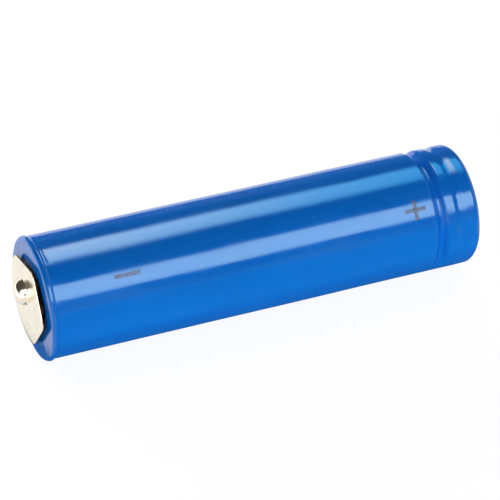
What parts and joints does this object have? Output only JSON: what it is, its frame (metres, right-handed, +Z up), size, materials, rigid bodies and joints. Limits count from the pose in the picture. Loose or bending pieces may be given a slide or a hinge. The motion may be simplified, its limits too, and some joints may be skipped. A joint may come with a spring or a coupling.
{
  "type": "cylindrical battery cell",
  "caption": "Sleeved cylindrical lithium-ion cell with a flat positive cap, bead groove, protection board and a negative contact plate with a domed nub.",
  "frame": {"origin": "centre of the cell's box, on the cell's axis", "axes": "+X along the cell's axis towards the positive cap, +Z up with the cell lying on its side"},
  "size_m": [0.071, 0.0188, 0.0188],
  "materials": {
    "blue_film": "glossy blue shrink film",
    "warm_nickel": "bright warm nickel plate",
    "plated_steel": "nickel-plated steel",
    "nickel": "rolled nickel strip",
    "aluminium": "bare sheet",
    "board_laminate": "black solder mask",
    "chip_resin": "moulded black resin",
    "chip_ceramic": "fired tan ceramic",
    "fish_paper": "pressed insulating paper",
    "grey_plastic": "grey insulating plastic",
    "white_plastic": "natural polypropylene",
    "amber_tape": "amber polyimide tape",
    "ptc_polymer": "carbon-filled polymer",
    "copper_graphite": "graphite coat on copper foil",
    "oxide_coat": "lithium oxide coat on aluminium foil",
    "separator_film": "white microporous film"
  },
  "bodies": {
    "root": {"shrink_sleeve": "blue_film", "negative_contact": "warm_nickel", "protection_board": "board_laminate", "control_chip": "chip_resin", "mosfet_chip_a": "chip_resin", "mosfet_chip_b": "chip_resin", "supply_resistor": "chip_resin", "sense_resistor": "chip_resin", "filter_capacitor": "chip_ceramic", "board_spacer": "grey_plastic", "base_paper": "fish_paper", "negative_strap": "nickel", "sense_strip": "nickel", "strip_insulation_tape": "amber_tape", "can": "plated_steel", "bottom_insulator": "white_plastic", "negative_tab": "nickel", "anode_sheet": "copper_graphite", "separator_inner": "separator_film", "cathode_sheet": "oxide_coat", "separator_outer": "separator_film", "roll_tape": "amber_tape", "core_pin": "plated_steel", "positive_tab": "aluminium", "top_insulator": "white_plastic", "current_interrupt_plate": "aluminium", "vent_insulator_ring": "grey_plastic", "vent_disc": "aluminium", "ptc_ring": "ptc_polymer", "gasket": "white_plastic", "positive_cap": "plated_steel", "positive_washer": "white_plastic"}
  },
  "joints": []
}
